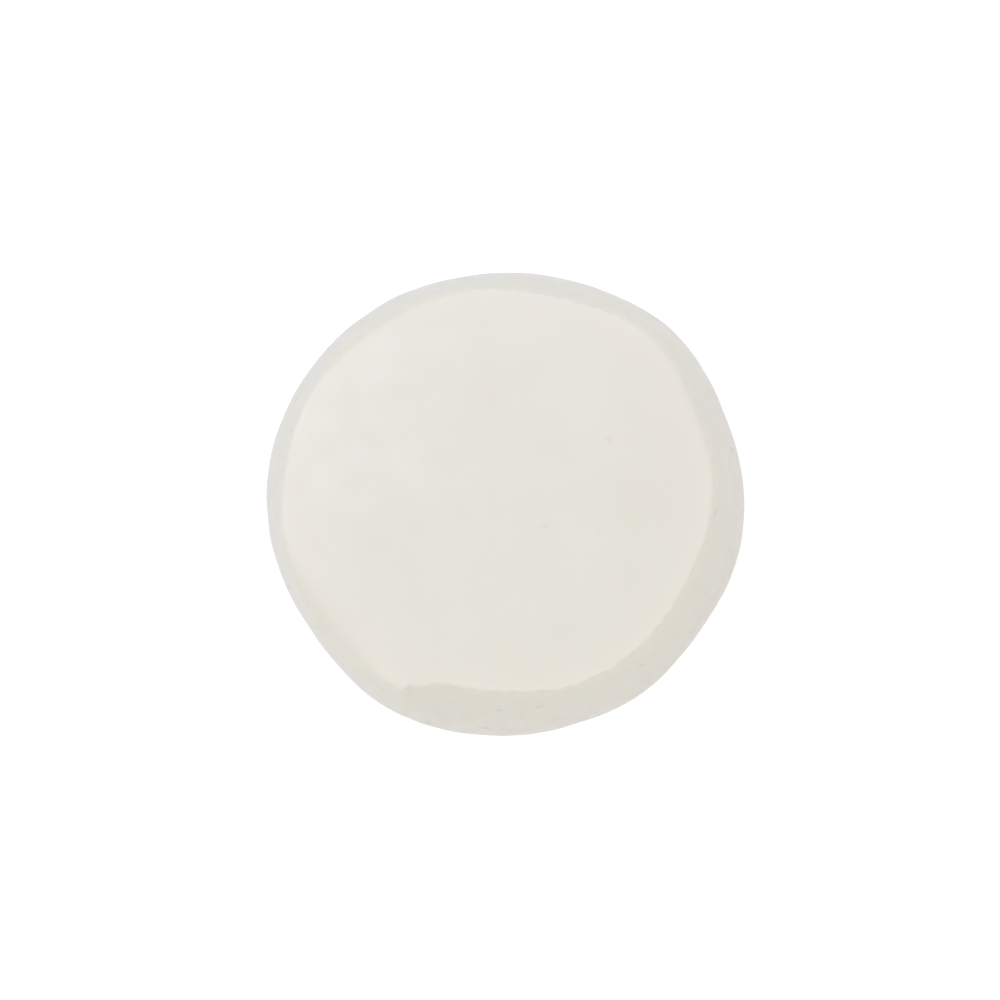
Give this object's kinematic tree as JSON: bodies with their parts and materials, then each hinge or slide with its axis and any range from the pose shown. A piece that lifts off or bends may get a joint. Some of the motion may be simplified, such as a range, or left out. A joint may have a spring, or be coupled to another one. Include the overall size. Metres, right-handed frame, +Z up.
{
  "type": "shaving soap puck",
  "caption": "Round puck of cast shaving soap with a flat base, tapered wall and gently domed top that a wet brush works into lather.",
  "frame": {"origin": "middle of the puck's bounding box, on the plane of its flat base, where it meets the table or dish", "axes": "+Z up out of the domed top, +X along the widest way across, +Y along the slightly narrower way across"},
  "size_m": [0.0698, 0.0676, 0.025],
  "materials": {
    "soap": "satin"
  },
  "bodies": {
    "root": {"soap_puck": "soap"}
  },
  "joints": []
}
